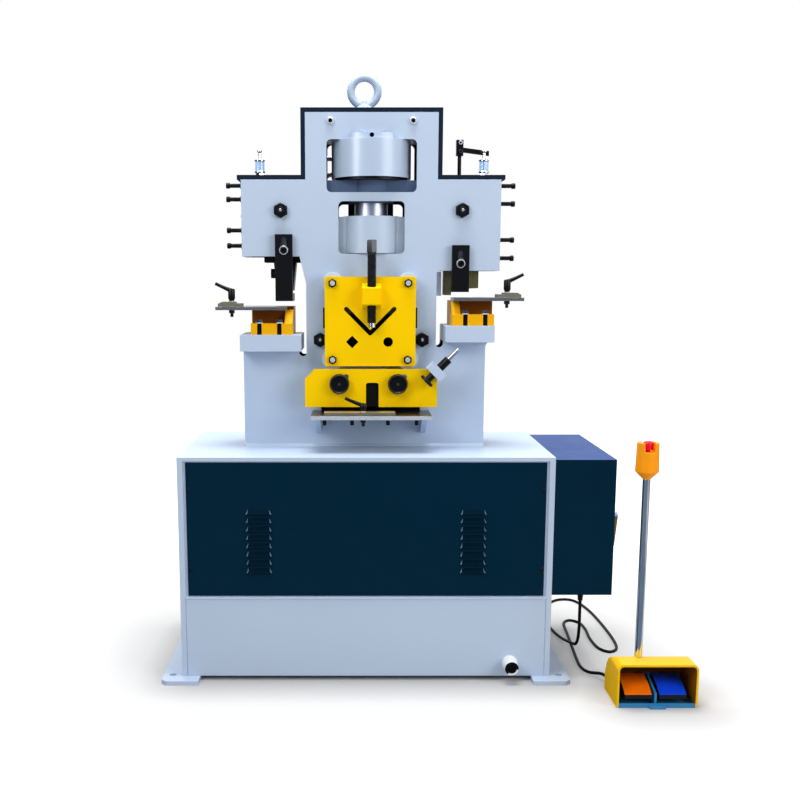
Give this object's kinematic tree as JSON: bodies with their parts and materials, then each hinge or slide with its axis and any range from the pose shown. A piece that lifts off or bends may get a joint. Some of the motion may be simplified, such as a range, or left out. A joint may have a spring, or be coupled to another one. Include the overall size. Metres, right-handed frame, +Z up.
{
  "type": "hydraulic ironworker",
  "caption": "Hydraulic ironworker with punch, notcher, section shear and flat-bar shear on a base cabinet, with a foot pedal station.",
  "frame": {"origin": "on the floor at the middle of the four anchor holes of the foot plates", "axes": "+X to the operator's right, +Y from the working front to the back, +Z up"},
  "size_m": [1.59, 1.124, 1.8573],
  "materials": {
    "frame_paint": "semi-gloss pale blue-grey paint",
    "navy_paint": "satin navy paint",
    "yellow_paint": "semi-gloss yellow paint",
    "amber_paint": "semi-gloss amber paint",
    "blue_paint": "satin blue paint",
    "motor_paint": "satin grey-blue paint",
    "plain_steel": "ground steel",
    "tool_steel": "dark hardened steel",
    "black_steel": "black oxide",
    "olive_steel": "dull olive",
    "galvanised": "zinc plated",
    "chrome": "polished hard chrome",
    "bronze": "machined bronze",
    "clear_glass": "clear",
    "white_plastic": "matt white",
    "black_plastic": "fine-textured black",
    "orange_plastic": "gloss orange",
    "blue_plastic": "gloss blue",
    "red_plastic": "gloss red",
    "cable_rubber": "matt black sheath"
  },
  "bodies": {
    "machine": {"base_cabinet": "frame_paint", "foot_plates": "frame_paint", "front_panel": "navy_paint", "cap_screws": "black_steel", "oil_drain": "white_plastic", "oil_tank": "plain_steel", "power_pack": "motor_paint", "front_frame_plate": "frame_paint", "rear_frame_plate": "frame_paint", "frame_spacers": "frame_paint", "frame_covers": "navy_paint", "lifting_eye": "galvanised", "adjusting_screws": "black_steel", "gib_strips": "bronze", "oil_cups": "chrome", "oil_glasses": "clear_glass", "cylinder_barrel": "frame_paint", "hydraulic_pipes": "galvanised", "die_shelves": "frame_paint", "die_holders": "amber_paint", "hex_bolts": "galvanised", "dies": "tool_steel", "work_tables": "plain_steel", "section_cover": "yellow_paint", "fixed_blades": "tool_steel", "flat_table": "plain_steel", "electrical_box": "navy_paint", "electrics_plate": "plain_steel", "cable_glands": "black_plastic", "pedal_base": "blue_paint", "pedal_guard": "yellow_paint", "pedal_pole": "chrome", "stop_head": "orange_plastic", "pedal_cable": "cable_rubber"},
    "ram": {"piston_rod": "chrome", "ram_head": "frame_paint", "ram_slide": "plain_steel", "moving_blades": "tool_steel", "punch_holder": "black_steel", "notch_punch": "olive_steel", "stroke_rod": "black_steel"},
    "left_stripper_body": {"left_stripper": "black_steel"},
    "right_stripper_body": {"right_stripper": "black_steel"},
    "guard": {"flat_guard": "yellow_paint"},
    "left_knob": {"left_guard_knob": "black_plastic"},
    "right_knob": {"right_guard_knob": "black_plastic"},
    "tilt_screw": {"angle_screw": "chrome"},
    "hold_foot": {"hold_down_foot": "chrome"},
    "hold_screw": {"hold_down_screw": "black_steel"},
    "fence": {"fence_bar": "plain_steel"},
    "fence_clamp": {"fence_lever": "black_plastic"},
    "left_stop_body": {"left_stop": "plain_steel"},
    "left_clamp": {"left_stop_lever": "black_plastic"},
    "right_stop_body": {"right_stop": "plain_steel"},
    "right_clamp": {"right_stop_lever": "black_plastic"},
    "door": {"box_door": "navy_paint"},
    "latch": {"door_handle": "plain_steel"},
    "orange_pedal_body": {"orange_pedal": "orange_plastic"},
    "blue_pedal_body": {"blue_pedal": "blue_plastic"},
    "button": {"stop_button": "red_plastic"}
  },
  "joints": [
    {"name": "ram_stroke", "type": "slide", "parent": "machine", "child": "ram", "axis": [0, 0, 1], "range_m": [0, 0.04]},
    {"name": "left_stripper_height", "type": "slide", "parent": "machine", "child": "left_stripper_body", "axis": [0, 0, 1], "range_m": [-0.015, 0]},
    {"name": "right_stripper_height", "type": "slide", "parent": "machine", "child": "right_stripper_body", "axis": [0, 0, 1], "range_m": [-0.015, 0]},
    {"name": "guard_height", "type": "slide", "parent": "machine", "child": "guard", "axis": [-0.7071, 0, -0.7071], "range_m": [0, 0.024]},
    {"name": "left_knob_turn", "type": "hinge", "parent": "machine", "child": "left_knob", "pos_m": [-0.082, -0.135, 0.906], "axis": [0, 1, 0], "range_deg": [0, 360]},
    {"name": "right_knob_turn", "type": "hinge", "parent": "machine", "child": "right_knob", "pos_m": [0.1, -0.135, 0.906], "axis": [0, 1, 0], "range_deg": [0, 360]},
    {"name": "tilt_screw_feed", "type": "slide", "parent": "guard", "child": "tilt_screw", "axis": [-0.7071, 0, -0.7071], "range_m": [0, 0.025]},
    {"name": "hold_down_travel", "type": "slide", "parent": "machine", "child": "hold_foot", "axis": [0, 0, 1], "range_m": [-0.02, 0.04]},
    {"name": "hold_down_turn", "type": "hinge", "parent": "hold_foot", "child": "hold_screw", "pos_m": [0.018, -0.135, 1.2], "axis": [0, 0, 1], "range_deg": [-1800, 3600]},
    {"name": "fence_shift", "type": "slide", "parent": "machine", "child": "fence", "axis": [1, 0, 0], "range_m": [-0.03, 0.08]},
    {"name": "fence_lever_turn", "type": "hinge", "parent": "fence", "child": "fence_clamp", "pos_m": [-0.008, -0.1915, 0.83], "axis": [0, 0, 1], "range_deg": [-80, 90]},
    {"name": "left_stop_shift", "type": "slide", "parent": "machine", "child": "left_stop_body", "axis": [1, 0, 0], "range_m": [0, 0.06]},
    {"name": "left_lever_turn", "type": "hinge", "parent": "left_stop_body", "child": "left_clamp", "pos_m": [-0.42, -0.065, 1.16], "axis": [0, 0, 1], "range_deg": [-90, 90]},
    {"name": "right_stop_shift", "type": "slide", "parent": "machine", "child": "right_stop_body", "axis": [-1, 0, 0], "range_m": [0, 0.06]},
    {"name": "right_lever_turn", "type": "hinge", "parent": "right_stop_body", "child": "right_clamp", "pos_m": [0.443, -0.065, 1.19], "axis": [0, 0, 1], "range_deg": [-90, 90]},
    {"name": "door_swing", "type": "hinge", "parent": "machine", "child": "door", "pos_m": [0.7363, 0.28, 0.483], "axis": [0, 0, 1], "range_deg": [0, 110]},
    {"name": "latch_turn", "type": "hinge", "parent": "door", "child": "latch", "pos_m": [0.7543, -0.25, 0.51], "axis": [1, 0, 0], "range_deg": [0, 90]},
    {"name": "orange_pedal_press", "type": "hinge", "parent": "machine", "child": "orange_pedal_body", "pos_m": [0.7895, -0.414, 0.058], "axis": [1, 0, 0], "range_deg": [0, 9], "stiffness_Nm_per_rad": 2, "springref_deg": -17.19},
    {"name": "blue_pedal_press", "type": "hinge", "parent": "machine", "child": "blue_pedal_body", "pos_m": [0.8905, -0.414, 0.058], "axis": [1, 0, 0], "range_deg": [0, 9], "stiffness_Nm_per_rad": 2, "springref_deg": -17.19},
    {"name": "stop_press", "type": "slide", "parent": "machine", "child": "button", "axis": [0, 0, -1], "range_m": [0, 0.006], "stiffness_N_per_m": 500, "springref_m": -0.004}
  ],
  "couplings": [
    {"joint": "hold_down_turn", "follows": "hold_down_travel", "rad_per_m": 1570.8}
  ]
}
